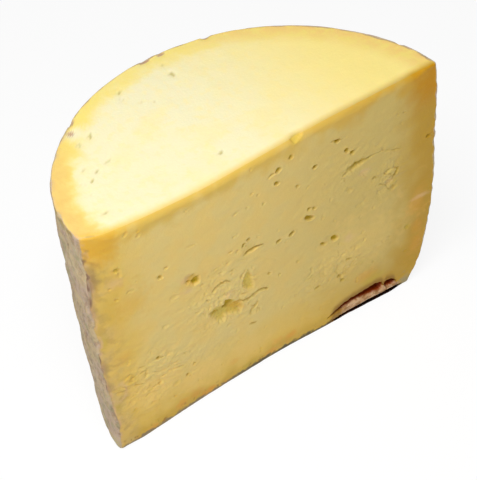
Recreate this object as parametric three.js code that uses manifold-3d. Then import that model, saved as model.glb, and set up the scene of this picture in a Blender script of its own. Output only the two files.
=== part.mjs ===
// Half of a tall pressed cow's-milk cheese, sliced flat above and cut upright through its axis.
// Lengths are in millimetres. +X runs along the cut face, +Y goes into the cheese, +Z is up.
import * as THREE from "three";
import { mergeVertices } from "three/addons/utils/BufferGeometryUtils.js";
import Module from "manifold-3d";

const wasm = await Module();
wasm.setup();

// The wheel: a wall that swells to a belly, draws in at the foot and leans a little to +X.
const WHEEL_HEIGHT = 300;
const BELLY_RADIUS = 194;
const BELLY_HEIGHT = 125;
const FOOT_TUCK = 15.6;
const SHOULDER_TUCK = 3.7;
const FOOT_ROUND = 5;
const DEPTH_RATIO = 0.9;
const LEAN = 8.2;
const LEAN_HEIGHT = 88;
const LEAN_FADE_POWER = 6;

// The unevenness of the rind: slow waves round the wall, a swell behind the left corner, and a
// flattened place low on the wall beyond it.
const CORNER_SWELL = 2.4;
const CORNER_ANGLE = 2.74;
const CORNER_SPREAD = 0.33;
const CORNER_POWER = 8;
const FLAT_DEPTH = 7;
const FLAT_ANGLE = 2.45;
const FLAT_SPREAD = 0.45;
const FLAT_HEIGHT = 40;
const FLAT_RISE = 75;
const RIND_WAVES = [
  { height: 0.9, turns: 7, phase: 0.6, pitch: 31 },
  { height: 0.6, turns: 13, phase: 2.0, pitch: 17 },
  { height: 0.4, turns: 23, phase: 0.4, pitch: 11 },
];

// The two cuts: the top is dished near the front, and the cut face twists from bulge to hollow. Its left
// end turns back towards the rind, more so higher up.
const CUT_HEIGHT = 274;
const DISH_DEPTH = 5;
const DISH_X = -80;
const DISH_WIDTH = 95;
const DISH_REACH = 80;
const FOOT_BOW = 8;
const BOW_HALF_WIDTH = 185;
const BOW_POWER = 1.5;
const TOP_BULGE = 3;
const TURN_DEPTH = 9.5;
const TURN_X = -163;
const TURN_WIDTH = 30;
const CUTTER_SIZE = 460;

// The eyes of the cut face: place along the cut and height, half length and half height, tilt in degrees.
const EYES = [
  { x: -45, z: 106, half: [13, 8], tilt: 8, depth: 9 },
  { x: -61, z: 106, half: [11, 7], tilt: -10, depth: 6 },
  { x: -49, z: 114, half: [6, 5], tilt: 0, depth: 10 },
  { x: -86, z: 167, half: [7, 5.5], tilt: 20, depth: 7 },
  { x: -95, z: 166, half: [5, 4], tilt: 0, depth: 2.5 },
  { x: -24, z: 130, half: [4.5, 14], tilt: 5, depth: 4 },
  { x: 77.6, z: 119, half: [4.8, 4], tilt: 10, depth: 6 },
  { x: 45, z: 164, half: [5.5, 2.8], tilt: 5, depth: 6 },
  { x: 87, z: 224, half: [3.4, 2.8], tilt: 0, depth: 5 },
  { x: 92, z: 218, half: [3.2, 2.6], tilt: -20, depth: 4 },
  { x: 187, z: 190, half: [3.2, 2.8], tilt: 0, depth: 4 },
  { x: 6, z: 243, half: [3.2, 3], tilt: 0, depth: 5 },
  { x: 5, z: 229, half: [2.6, 2.6], tilt: 0, depth: 4 },
  { x: 74, z: 242, half: [3, 2.6], tilt: 0, depth: 4 },
  { x: 49, z: 225, half: [2.6, 2.6], tilt: 0, depth: 4 },
  { x: -121, z: 193, half: [2.8, 2.6], tilt: 0, depth: 4 },
  { x: -163, z: 227, half: [2.8, 2.4], tilt: 0, depth: 3 },
  { x: 25, z: 157, half: [2.8, 2.4], tilt: 0, depth: 4 },
  { x: 9, z: 156, half: [2.6, 2.4], tilt: 0, depth: 4 },
  { x: -128, z: 94, half: [2.6, 2.4], tilt: 0, depth: 3 },
  { x: -96, z: 49, half: [2.6, 2.4], tilt: 0, depth: 3 },
];

// The narrow crevices between the curds, and a nick in the top edge.
const CREVICES = [
  { x: -17, z: 161, half: [12, 1.8], tilt: 0, depth: 4 },
  { x: -58, z: 141, half: [8, 1.6], tilt: 6, depth: 3 },
  { x: -13, z: 101, half: [11, 1.8], tilt: 4, depth: 3.5 },
  { x: 104, z: 200, half: [19, 2], tilt: 8, depth: 5 },
  { x: 136, z: 199, half: [17, 1.5], tilt: -12, depth: 3.5 },
  { x: 150, z: 164, half: [5, 2], tilt: 30, depth: 4 },
  { x: 61, z: 121, half: [4.5, 1.6], tilt: 0, depth: 3 },
  { x: 93, z: 81, half: [4.5, 1.6], tilt: 20, depth: 3 },
  { x: 61, z: 62, half: [4.5, 1.6], tilt: 0, depth: 3 },
  { x: -110, z: 42, half: [5, 1.6], tilt: 10, depth: 3 },
  { x: 24, z: 273, half: [6, 3], tilt: 0, depth: 5 },
];

// The pits of the sliced top: place along the cut and distance behind it, half length and half width.
const TOP_PITS = [
  { x: -7, y: 136, half: [4.2, 3], depth: 3 },
  { x: -5, y: 151, half: [3, 2.6], depth: 2.5 },
  { x: -58, y: 141, half: [2.8, 2.4], depth: 2.5 },
  { x: -112, y: 109, half: [2.6, 2.4], depth: 2.5 },
  { x: -118, y: 74, half: [2.8, 2.4], depth: 2.5 },
  { x: -142, y: 61, half: [2.6, 2.4], depth: 2.5 },
  { x: -155, y: 21, half: [4.5, 1.8], depth: 3 },
  { x: -35, y: 23.5, half: [2.6, 2.2], depth: 2.5 },
];

// A hollow's walls swell and shrink in two waves, and each hollow is turned by its place.
const HOLLOW_SWELL = 0.16;
const HOLLOW_RIPPLE = 0.1;
const HOLLOW_TURN_PER_MM = 0.7;

// The split above the foot, where the base rind has come away from the paste: ends and curve handles.
const SPLIT_LEFT = [83, 11.5];
const SPLIT_RIGHT = [159, 15.5];
const SPLIT_CREST = [120, 26];
const SPLIT_FLOOR = [120, 20];
const SPLIT_DEPTH = 12;

// How finely each surface is divided.
const AROUND = 96;
const WALL_ROWS = 22;
const FOOT_ROWS = 3;
const CUT_COLUMNS = 46;
const CUT_ROWS = 28;
const TOP_CELLS = 22;
const HOLLOW_COLUMNS = 9;
const HOLLOW_ROWS = 6;
const SPLIT_STEPS = 10;
const WELD = 1e-4;

const PASTE_COLOUR = 0xe6c578;
const PASTE_ROUGHNESS = 0.55;

function bell(offset, spread) {
  return Math.exp(-((offset / spread) ** 2));
}

function wallRadius(z) {
  const tuck = z < BELLY_HEIGHT ? FOOT_TUCK : SHOULDER_TUCK;
  const span = z < BELLY_HEIGHT ? BELLY_HEIGHT : CUT_HEIGHT - BELLY_HEIGHT;
  return BELLY_RADIUS - tuck * ((z - BELLY_HEIGHT) / span) ** 2;
}

function leanAt(z) {
  const step = z / LEAN_HEIGHT;
  const fade = Math.max(0, 1 - (z / CUT_HEIGHT) ** LEAN_FADE_POWER);
  return LEAN * step * Math.exp(1 - step) * fade;
}

function rindReliefAt(angle, z) {
  const rise = (z / CUT_HEIGHT) ** CORNER_POWER;
  const flat = bell(angle - FLAT_ANGLE, FLAT_SPREAD) * bell(z - FLAT_HEIGHT, FLAT_RISE);
  let relief = CORNER_SWELL * bell(angle - CORNER_ANGLE, CORNER_SPREAD) * rise - FLAT_DEPTH * flat;
  for (const wave of RIND_WAVES) {
    relief += wave.height * Math.sin(wave.turns * angle + wave.phase) * Math.sin(z / wave.pitch);
  }
  return relief;
}

function cutFaceAt(x, z) {
  const rise = z / CUT_HEIGHT;
  const bow = Math.max(0, 1 - Math.abs(x / BOW_HALF_WIDTH) ** BOW_POWER);
  const bulge = bell(x - DISH_X, DISH_WIDTH);
  const turn = (Math.max(0, TURN_X - x) / TURN_WIDTH) ** 2 * Math.sqrt(Math.max(0, rise));
  return FOOT_BOW * bow * (1 - rise) - TOP_BULGE * bulge * rise + TURN_DEPTH * turn;
}

function topFaceAt(x, y) {
  return CUT_HEIGHT - DISH_DEPTH * bell(x - DISH_X, DISH_WIDTH) * bell(y, DISH_REACH);
}

function moveVertices(geometry, move) {
  const spots = geometry.attributes.position;
  const point = new THREE.Vector3();
  for (let i = 0; i < spots.count; i += 1) {
    point.fromBufferAttribute(spots, i);
    move(point);
    spots.setXYZ(i, point.x, point.y, point.z);
  }
  return geometry;
}

function solidOf(geometry) {
  const bare = geometry.clone();
  bare.deleteAttribute("normal");
  bare.deleteAttribute("uv");
  const welded = mergeVertices(bare, WELD);
  const corners = welded.index.array;
  const kept = [];
  for (let i = 0; i < corners.length; i += 3) {
    const a = corners[i];
    const b = corners[i + 1];
    const c = corners[i + 2];
    if (a !== b && b !== c && c !== a) {
      kept.push(a, b, c);
    }
  }
  return new wasm.Manifold(new wasm.Mesh({
    numProp: 3,
    vertProperties: new Float32Array(welded.attributes.position.array),
    triVerts: new Uint32Array(kept),
  }));
}

function makeWheel() {
  const profile = [new THREE.Vector2(0, 0)];
  for (let i = 0; i <= FOOT_ROWS; i += 1) {
    const turn = (i / FOOT_ROWS) * (Math.PI / 2);
    const radius = wallRadius(FOOT_ROUND) - FOOT_ROUND * (1 - Math.sin(turn));
    profile.push(new THREE.Vector2(radius, FOOT_ROUND * (1 - Math.cos(turn))));
  }
  for (let i = 1; i <= WALL_ROWS; i += 1) {
    const z = FOOT_ROUND + ((WHEEL_HEIGHT - FOOT_ROUND) * i) / WALL_ROWS;
    profile.push(new THREE.Vector2(wallRadius(z), z));
  }
  profile.push(new THREE.Vector2(0, WHEEL_HEIGHT));
  const wheel = new THREE.LatheGeometry(profile, AROUND);
  wheel.rotateX(Math.PI / 2);
  return moveVertices(wheel, (point) => {
    const plain = Math.hypot(point.x, point.y);
    const angle = Math.atan2(point.y, point.x);
    const radius = plain > FOOT_ROUND ? plain + rindReliefAt(angle, point.z) : plain;
    point.x = radius * Math.cos(angle) + leanAt(point.z);
    point.y = DEPTH_RATIO * radius * Math.sin(angle);
  });
}

function makeFrontCutter() {
  const block = new THREE.BoxGeometry(CUTTER_SIZE, CUTTER_SIZE, CUTTER_SIZE, CUT_COLUMNS, 1, CUT_ROWS);
  block.translate(0, -CUTTER_SIZE / 2, CUT_HEIGHT / 2);
  return moveVertices(block, (point) => {
    if (point.y > -CUTTER_SIZE / 2) {
      point.y = cutFaceAt(point.x, point.z);
    }
  });
}

function makeTopCutter() {
  const block = new THREE.BoxGeometry(CUTTER_SIZE, CUTTER_SIZE, CUTTER_SIZE, TOP_CELLS, TOP_CELLS, 1);
  block.translate(0, 0, CUT_HEIGHT + CUTTER_SIZE / 2);
  return moveVertices(block, (point) => {
    if (point.z < CUT_HEIGHT + CUTTER_SIZE / 2) {
      point.z = topFaceAt(point.x, point.y);
    }
  });
}

function makeHollow(place) {
  const hollow = new THREE.SphereGeometry(1, HOLLOW_COLUMNS, HOLLOW_ROWS);
  moveVertices(hollow, (point) => {
    const swell = HOLLOW_SWELL * Math.sin(4 * point.x + 3 * point.z);
    const ripple = HOLLOW_RIPPLE * Math.sin(5 * point.y + 2);
    point.multiplyScalar(1 + swell + ripple);
  });
  hollow.rotateX(Math.PI / 2);
  hollow.rotateZ(HOLLOW_TURN_PER_MM * place);
  return hollow;
}

function makeEye({ x, z, half, tilt, depth }) {
  const eye = makeHollow(x);
  eye.scale(half[0], half[1], depth);
  eye.rotateX(Math.PI / 2);
  eye.rotateY(THREE.MathUtils.degToRad(-tilt));
  eye.translate(x, cutFaceAt(x, z), z);
  return eye;
}

function makeTopPit({ x, y, half, depth }) {
  const pit = makeHollow(x);
  pit.scale(half[0], half[1], depth);
  pit.translate(x, y, topFaceAt(x, y));
  return pit;
}

function makeSplit() {
  const outline = new THREE.Shape();
  outline.moveTo(...SPLIT_LEFT);
  outline.quadraticCurveTo(...SPLIT_CREST, ...SPLIT_RIGHT);
  outline.quadraticCurveTo(...SPLIT_FLOOR, ...SPLIT_LEFT);
  const split = new THREE.ExtrudeGeometry(outline, {
    depth: FOOT_BOW + SPLIT_DEPTH,
    bevelEnabled: false,
    curveSegments: SPLIT_STEPS,
  });
  split.rotateX(Math.PI / 2);
  split.translate(0, cutFaceAt(SPLIT_CREST[0], SPLIT_CREST[1]) + SPLIT_DEPTH, 0);
  return split;
}

const hollows = [
  ...EYES.map(makeEye),
  ...CREVICES.map(makeEye),
  ...TOP_PITS.map(makeTopPit),
  makeSplit(),
];
let cheese = solidOf(makeWheel());
for (const cutter of [makeFrontCutter(), makeTopCutter(), ...hollows]) {
  cheese = cheese.subtract(solidOf(cutter));
}

// The origin is the middle of the foot: the centre of the bounding box, on the surface it stands on.
const shell = cheese.getMesh();
const geometry = new THREE.BufferGeometry();
geometry.setAttribute("position", new THREE.BufferAttribute(new Float32Array(shell.vertProperties), 3));
geometry.setIndex(new THREE.BufferAttribute(new Uint32Array(shell.triVerts), 1));
geometry.computeBoundingBox();
const middle = geometry.boundingBox.getCenter(new THREE.Vector3());
geometry.translate(-middle.x, -middle.y, -geometry.boundingBox.min.z);
geometry.computeVertexNormals();

const paste = new THREE.MeshStandardMaterial({
  color: PASTE_COLOUR,
  roughness: PASTE_ROUGHNESS,
  metalness: 0,
});
const halfWheel = new THREE.Mesh(geometry, paste);
halfWheel.name = "half_wheel";

const part = new THREE.Group();
part.name = "pressed_cheese_half";
part.add(halfWheel);

export default part;
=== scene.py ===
# %% [markdown]
# # Half a wheel of pressed cheese
# A tall wheel of cheese was sliced flat across the top and then cut upright through its axis. Two faces
# show bare paste, and the rest of the outside is rind. The CAD model holds the true size and place, so
# it is loaded first and stays as it is, and the rest is built round it.

# %% Load the fixed frame
import math

import bmesh
import bpy
import numpy as np
from mathutils import Matrix, Vector, noise


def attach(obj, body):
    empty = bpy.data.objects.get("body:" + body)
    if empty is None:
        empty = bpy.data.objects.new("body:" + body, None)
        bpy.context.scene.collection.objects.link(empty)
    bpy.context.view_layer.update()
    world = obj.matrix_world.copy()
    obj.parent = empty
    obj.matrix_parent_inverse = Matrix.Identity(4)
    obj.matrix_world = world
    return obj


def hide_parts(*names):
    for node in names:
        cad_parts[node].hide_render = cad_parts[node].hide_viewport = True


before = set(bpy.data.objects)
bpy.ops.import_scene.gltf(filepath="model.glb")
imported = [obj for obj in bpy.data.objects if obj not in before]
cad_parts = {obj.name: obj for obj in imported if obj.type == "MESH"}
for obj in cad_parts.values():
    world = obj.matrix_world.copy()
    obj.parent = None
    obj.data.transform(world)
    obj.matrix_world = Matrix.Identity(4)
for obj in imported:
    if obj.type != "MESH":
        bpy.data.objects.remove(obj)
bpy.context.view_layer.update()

MM = 0.001

# %% [markdown]
# ## The camera
# The cheese is seen from above left with a long lens, so its upright edges run almost parallel. A camera
# could track a target object, but the small roll would need a second step. Plain values are simpler, found
# by fitting the corners and the back edge of a half wheel to the picture.

# %% Camera
CAMERA_AT = Vector((-583.9, -821.4, 1046.7)) * MM
CAMERA_AZIMUTH = math.radians(-36.343)
CAMERA_ELEVATION = math.radians(43.279)
CAMERA_ROLL = math.radians(-1.5)
CAMERA_LENS = 107.45
scene = bpy.context.scene


def aim(azimuth, elevation, roll):
    """Turns a camera to look down from an azimuth, then rolls it about its own axis."""
    back = Vector((
        math.sin(azimuth) * math.cos(elevation),
        -math.cos(azimuth) * math.cos(elevation),
        math.sin(elevation),
    ))
    turn = (-back).to_track_quat("-Z", "Y").to_matrix().to_4x4()
    return turn @ Matrix.Rotation(roll, 4, "Z")


camera = bpy.data.objects.new("camera", bpy.data.cameras.new("camera"))
camera.data.lens = CAMERA_LENS
camera.matrix_world = Matrix.Translation(CAMERA_AT) @ aim(CAMERA_AZIMUTH, CAMERA_ELEVATION, CAMERA_ROLL)
scene.collection.objects.link(camera)
scene.camera = camera
print("camera", [round(x, 3) for x in camera.location], "lens", camera.data.lens)

# %% [markdown]
# ## The form of the wheel
# The wall of the wheel swells to a belly, draws in at the foot and leans a little to the right. Low on the
# left it is pressed flat. It could be sculpted by hand, but these short formulas, in millimetres and
# radians, are the ones that the CAD solid follows, so the two agree.

# %% Wall of the wheel
BELLY_RADIUS = 194
BELLY_HEIGHT = 125
FOOT_TUCK = 15.6
SHOULDER_TUCK = 3.7
DEPTH_RATIO = 0.9
CUT_HEIGHT = 274
LEAN = 8.2
LEAN_HEIGHT = 88
LEAN_FADE_POWER = 6
CORNER_SWELL = 2.4
CORNER_ANGLE = 2.74
CORNER_SPREAD = 0.33
CORNER_POWER = 8
FLAT_DEPTH = 7
FLAT_ANGLE = 2.45
FLAT_SPREAD = 0.45
FLAT_HEIGHT = 40
FLAT_RISE = 75
# Each wave of the rind has a height, turns round the wheel, a phase and a pitch up the wall.
RIND_WAVES = [(0.9, 7, 0.6, 31), (0.6, 13, 2.0, 17), (0.4, 23, 0.4, 11)]
# The wheel's axis stands here in the part's own frame.
AXIS = np.array([-5.4, -86.2, 0.0])


def bell(offset, spread):
    """A smooth hump: 1 in the middle, falling off over the spread."""
    return np.exp(-((offset / spread) ** 2))


def smooth(value, low, high):
    """Rises softly from 0 at low to 1 at high."""
    share = np.clip((value - low) / (high - low), 0, 1)
    return share * share * (3 - 2 * share)


def wall_radius(z):
    low = z < BELLY_HEIGHT
    tuck = np.where(low, FOOT_TUCK, SHOULDER_TUCK)
    span = np.where(low, BELLY_HEIGHT, CUT_HEIGHT - BELLY_HEIGHT)
    return BELLY_RADIUS - tuck * ((z - BELLY_HEIGHT) / span) ** 2


def lean_at(z):
    step = z / LEAN_HEIGHT
    fade = np.maximum(0, 1 - (z / CUT_HEIGHT) ** LEAN_FADE_POWER)
    return LEAN * step * np.exp(1 - step) * fade


def wall_waves(angle, z):
    relief = CORNER_SWELL * bell(angle - CORNER_ANGLE, CORNER_SPREAD) * (z / CUT_HEIGHT) ** CORNER_POWER
    relief = relief - FLAT_DEPTH * bell(angle - FLAT_ANGLE, FLAT_SPREAD) * bell(z - FLAT_HEIGHT, FLAT_RISE)
    for height, turns, phase, pitch in RIND_WAVES:
        relief = relief + height * np.sin(turns * angle + phase) * np.sin(z / pitch)
    return relief


print("widest radius", BELLY_RADIUS, "mm, foot radius", round(float(wall_radius(np.array(0.0))), 1), "mm")

# %% [markdown]
# ## The two cuts
# A wire cuts cheese, and it drags, so neither cut is quite flat. The top is dished near the front. The cut
# face twists from a slight bulge at the top to a hollow at the foot, and its left end turns back. Flat
# planes would be simpler, but the light shows these curves along the edges.

# %% Cut face and top
DISH_DEPTH = 5
DISH_X = -80
DISH_WIDTH = 95
DISH_REACH = 80
FOOT_BOW = 8
BOW_HALF_WIDTH = 185
BOW_POWER = 1.5
TOP_BULGE = 3
TURN_DEPTH = 9.5
TURN_X = -163
TURN_WIDTH = 30


def cut_face(x, z):
    """How far the cut face lies behind a flat plane."""
    bow = np.maximum(0, 1 - np.abs(x / BOW_HALF_WIDTH) ** BOW_POWER)
    rise = np.maximum(0, z / CUT_HEIGHT)
    turn = TURN_DEPTH * (np.maximum(0, TURN_X - x) / TURN_WIDTH) ** 2 * np.sqrt(rise)
    return FOOT_BOW * bow * (1 - rise) - TOP_BULGE * bell(x - DISH_X, DISH_WIDTH) * rise + turn


def top_face(x, y):
    """How high the sliced top lies."""
    return CUT_HEIGHT - DISH_DEPTH * bell(x - DISH_X, DISH_WIDTH) * bell(y, DISH_REACH)


print("the top dips", DISH_DEPTH, "mm, and the cut face bows in", FOOT_BOW, "mm at the foot")

# %% [markdown]
# ## The holes of the cheese
# Gas and loosely knit curd leave holes in the paste: round eyes, short slits, fine cracks and one torn
# double cavity in the middle of the cut face. They could be scattered at random, but these few give the
# piece its face, so each was read off the picture, in millimetres along the cut and above the foot.

# %% Round hollows of the cut face
# Each is a place along and up, half a length, half a width, a tilt in degrees and a depth.
EYES = [
    (44.6, 165, 6.8, 3.2, -30, 3.6), (77.8, 119.5, 5, 3.4, -35, 3), (86.3, 224.3, 3.6, 2.8, -50, 3.2),
    (93, 218.2, 3.4, 2.6, -40, 2.6), (187, 190.5, 3, 2.6, 0, 2), (6.7, 244, 3.6, 2.8, 10, 3.2),
    (5.4, 229.4, 3.2, 2.4, -40, 2.6), (74.5, 241.3, 3.2, 2.8, 0, 3), (48.7, 224.5, 3, 2.6, -40, 3),
    (-121.6, 193.2, 3.2, 2.4, -40, 1.8), (-163, 227, 4, 2.4, -30, 1.6), (24.9, 156.8, 3.6, 2.4, 10, 3.2),
    (9.3, 156.4, 3.2, 2.4, 15, 2.8), (-128.5, 95, 2.8, 2.2, -40, 2), (-97, 48.7, 2.8, 2.2, -40, 1.6),
    (44.4, 176.5, 2.8, 2.2, -30, 2), (50.3, 173.8, 2.6, 2, -30, 1.6), (-31, 176.2, 3, 2.2, 40, 2.2),
    (-25.6, 180, 2.6, 2, 0, 1.8), (20.9, 251.2, 3, 2.4, -30, 2), (29.6, 212.4, 2.8, 2.2, -40, 1.4),
    (-0.5, 120, 2.6, 2, -40, 1.4), (86.4, 63.4, 2.8, 2.2, 0, 1.8), (90.4, 55.1, 2.8, 2.2, 0, 1.8),
    (12, 111, 2.4, 2, -40, 1), (33.8, 114.8, 2.4, 2, -40, 1), (-115.3, 200.7, 2.4, 2, -30, 1.2),
    (-88.5, 58, 2.4, 2, -40, 1.2),
]
DIPS = [
    (-25, 168, 10, 10, 0, 1.2), (-108.8, 160, 5, 3.5, 0, 1), (-89.5, 139, 5, 3, 0, 1),
    (-110, 46.7, 5, 3.4, 20, 1.2), (-119.5, 129.6, 4, 3, 0, 1), (-74.5, 100.6, 4, 3, 0, 1),
    (106, 147, 5, 3, 0, 0.8), (92.5, 173, 5.5, 4, -30, 1.2), (27, 271, 8, 5, 0, 2),
    (99, 200.5, 13, 5, 8, 1.6), (141, 157, 5, 4, -30, 1.4), (147, 148.5, 4, 3, -40, 1.4),
    (108, 186, 6, 4, 0, 1), (-62, 162, 10, 7, 0, 1), (-20, 82, 6, 6, 0, 1), (74, 122, 11, 7, -10, 1),
    (170, 83.5, 4, 3.4, 0, 1.4), (124, 171.5, 3, 2.2, -30, 1), (91, 174.5, 5.5, 3.4, -30, 1.2),
]
CREVICES = [
    (-88.4, 211, 6.4, 1.6, -3, 1.1), (0.4, 242.2, 7.4, 1.7, 16, 1.5), (73.2, 242.4, 9, 1.6, -14, 1.2),
    (-14, 79, 3.8, 1.5, 70, 1), (-92, 168.6, 4.6, 1.6, -15, 1.4), (63.8, 120, 5.2, 2.1, -26, 2.2),
    (96.3, 81, 4.4, 1.8, -15, 1.3), (59.3, 63.8, 4.6, 1.9, 20, 1.5), (50.2, 83.2, 3.8, 1.7, 35, 1.2),
    (-142.6, 54, 5, 1.8, 30, 1.2), (-61, 166, 4.5, 1.5, 20, 1), (-55, 157, 4.5, 1.5, -10, 1),
    (-44, 152, 4, 1.4, 15, 0.9), (-46, 177, 3.4, 1.5, 0, 0.9), (-189, 128.5, 8, 2, -73, 3),
    (-186.5, 92, 8.5, 2, -78, 3),
]
print(len(EYES), "eyes,", len(DIPS), "dips and", len(CREVICES), "crevices")

# %% Torn holes and cracks of the cut face
# A torn hole is an outline, a depth and the width of its sloping wall.
HOLES = [
    ([(-72, 113.5), (-68, 115), (-62, 117.5), (-55, 116), (-52.5, 120), (-47, 118), (-40, 112.5),
      (-33, 107), (-32, 98), (-35, 91), (-43, 93.5), (-51, 97), (-54, 92), (-61, 96), (-67, 103)], 3.0, 7),
    ([(-24.5, 144.5), (-20, 129), (-18.5, 113), (-26, 114.5), (-32.5, 122.5), (-31, 134), (-27, 140)],
     2.4, 4),
    ([(-96.5, 177), (-92, 178.5), (-85.5, 177), (-80.5, 170), (-80, 161.5), (-86, 158.5), (-97, 170)],
     1.6, 5),
]
DEEP_HOLES = [
    ([(-52.5, 119.5), (-48, 118), (-41, 112.5), (-44, 108.5), (-49, 105), (-54, 108)], 2.4, 4),
    ([(-90, 167), (-81, 172), (-80.5, 160), (-87, 160.5)], 2.8, 3),
]
# A crack is a line through a few places, half a width and a depth.
CRACKS = [
    ([(-36, 107), (-25, 102), (-20, 104), (-14, 105), (-8, 104.5), (-2, 101)], 2.6, 1.9),
    ([(-66, 138), (-62.5, 142.5), (-57, 143.5), (-52, 143.5), (-47, 140)], 2.2, 1.5),
    ([(-31, 163), (-24, 164), (-17, 164), (-9, 164.5)], 2.2, 2.6),
    ([(-21, 91), (-16, 87), (-13.5, 91)], 2.0, 1.8),
    ([(-22, 79), (-19.5, 88)], 1.8, 1.6),
    ([(-23, 66), (-15, 64)], 1.8, 1.6),
    ([(-13, 84), (-11, 77)], 1.6, 1.3),
    ([(84, 195), (90, 198), (96, 200.3), (104, 200.3), (115, 201.4)], 3.2, 1.7),
    ([(110, 201.4), (128, 201.3), (140, 196.7), (153, 192)], 1.5, 1.0),
    ([(152, 170), (150, 166), (146, 158.5)], 2.6, 2.2),
    ([(136, 169.5), (145, 165)], 1.6, 1.3),
    ([(120, 171), (125, 171.5)], 1.6, 1.3),
    ([(140, 148), (146, 148.5)], 1.6, 1.3),
]
print(len(HOLES), "torn holes with", len(DEEP_HOLES), "deeper spots, and", len(CRACKS), "cracks")

# %% Pits and chips of the top
# Written like the round hollows, but placed along the cut and behind it.
TOP_PITS = [
    (-7, 136, 4.8, 3.2, 0, 3), (-5, 151, 3.2, 2.6, 0, 2.5), (-58.4, 143, 3, 2.6, 0, 2.5),
    (-63.7, 133.5, 3, 2.6, 0, 2.5), (-112.3, 109, 3.2, 3, 0, 3), (-118.3, 72.2, 3.4, 2.6, 0, 2),
    (-132, 68.1, 3.6, 2.6, 0, 2.5), (-142.9, 59.1, 3, 2.6, 0, 2.5), (-155, 20, 5, 2.2, 0, 1.7),
    (-35.2, 23.5, 3, 2.6, 0, 2.5), (-41, 25, 2.4, 2.2, 0, 1.5), (-50.5, 118.6, 2.6, 2.2, 0, 2),
    (-42.8, 114.4, 2.4, 2.2, 0, 1.5), (-126, 104, 4, 6, 0, 1.4), (-140.5, 75, 3.4, 3, 0, 1.6),
    (-151, 60, 3, 3, 0, 1.2), (-154, 46, 3, 3, 0, 1.2),
]
EDGE_NICK = (27, 0, 8, 5, 0, 2.2)
RIM_CHIPS = [
    (-117, 135, 6, 6, 0, 2.4), (-14.5, 168, 7, 4, 0, 1.6), (2.6, 167.5, 6, 3.6, 0, 1.4),
    (50, 163.5, 5, 4, 0, 1.8), (186, 44.5, 5, 5, 0, 1.8), (-124, 122, 5, 5, 0, 1.4),
]
print(len(TOP_PITS), "pits and", len(RIM_CHIPS), "chips on the top")

# %% [markdown]
# ## Small dents and loose curd
# Between the large holes the paste has many shallow dents, more of them round the torn cavity. They could
# be placed by hand, but nobody tells one from another, so a random draw with a fixed seed places them.
# Loosely knit curd is rougher. Its places are written like the hollows, with a strength for the depth.

# %% Small dents and loose curd
DENT_COUNT = 110
TORN_DENTS = 30
DENT_SEED = 7
DENT_REACH = 172
DENT_HEIGHTS = (14, 262)
TORN_MIDDLE = (-50, 125)
TORN_SPREAD = 34
DENT_HALF_LENGTHS = (1.6, 3.6)
DENT_HALF_WIDTHS = (1.3, 2.1)
DENT_TILTS = (0, 180)
DENT_DEPTHS = (0.45, 1.2)
TORN_PLACES = [
    (-55, 122, 55, 45, 0, 1), (-95, 70, 60, 35, 0, 0.5), (90, 195, 70, 45, 0, 0.4),
    (78, 78, 60, 36, 0, 0.75), (138, 165, 28, 32, 0, 0.8), (-140, 72, 50, 55, 0, 0.85),
]
draw = np.random.default_rng(DENT_SEED)
DENTS = []
for number in range(DENT_COUNT):
    where = (draw.uniform(-DENT_REACH, DENT_REACH), draw.uniform(*DENT_HEIGHTS))
    if number < TORN_DENTS:
        where = (draw.normal(TORN_MIDDLE[0], TORN_SPREAD), draw.normal(TORN_MIDDLE[1], TORN_SPREAD))
    size = (draw.uniform(*DENT_HALF_LENGTHS), draw.uniform(*DENT_HALF_WIDTHS))
    DENTS.append((*where, *size, draw.uniform(*DENT_TILTS), draw.uniform(*DENT_DEPTHS)))
FRONT_HOLLOWS = EYES + DIPS + CREVICES + DENTS
print(len(FRONT_HOLLOWS), "round hollows on the cut face, dents included")

# %% [markdown]
# ## Measuring a place against a hole
# Every hole needs one number at each point of the mesh: how near it is. A boolean cutter for each hole
# could also make them, but it leaves sharp rims and long triangles.

# %% Measuring helpers
TORN_FADE = 0.8


def reach(along, across, hollow):
    """How far a point is from a hollow's middle: 1 on its rim."""
    middle_along, middle_across, half_along, half_across, tilt, _ = hollow
    turn = math.radians(tilt)
    a = along - middle_along
    c = across - middle_across
    major = (a * math.cos(turn) + c * math.sin(turn)) / half_along
    minor = (c * math.cos(turn) - a * math.sin(turn)) / half_across
    return np.hypot(major, minor)


def from_segment(along, across, start, end):
    """How far a point is from a straight line between two places, and how far along it lies."""
    run = end[0] - start[0]
    rise = end[1] - start[1]
    step = np.clip(((along - start[0]) * run + (across - start[1]) * rise) / (run**2 + rise**2), 0, 1)
    return np.hypot(along - start[0] - step * run, across - start[1] - step * rise), step


def inside(along, across, corners):
    """How far inside a closed outline a point lies: below 0 outside it."""
    nearest = np.full_like(along, np.inf)
    within_outline = np.zeros(along.shape, bool)
    for start, end in zip(corners, corners[1:] + corners[:1]):
        nearest = np.minimum(nearest, from_segment(along, across, start, end)[0])
        slope = (end[0] - start[0]) / (end[1] - start[1])
        crossing = (start[1] > across) != (end[1] > across)
        within_outline = within_outline ^ (crossing & (along < start[0] + slope * (across - start[1])))
    return np.where(within_outline, nearest, -nearest)


def from_line(along, across, points):
    """How far a point is from a line through several places, and which share of the line is nearest."""
    nearest = np.full_like(along, np.inf)
    share = np.zeros_like(along)
    for number, (start, end) in enumerate(zip(points, points[1:])):
        away, step = from_segment(along, across, start, end)
        share = np.where(away < nearest, (number + step) / (len(points) - 1), share)
        nearest = np.minimum(nearest, away)
    return nearest, share


def torn_at(along, across):
    """How loosely the curd is knit at a place of the cut face."""
    torn = np.zeros_like(along)
    for place in TORN_PLACES:
        torn = np.maximum(torn, place[-1] * bell(reach(along, across, place), TORN_FADE))
    return torn


print("curd in the torn middle is loose by", round(float(torn_at(*np.array(TORN_MIDDLE, float))), 2))

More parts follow.
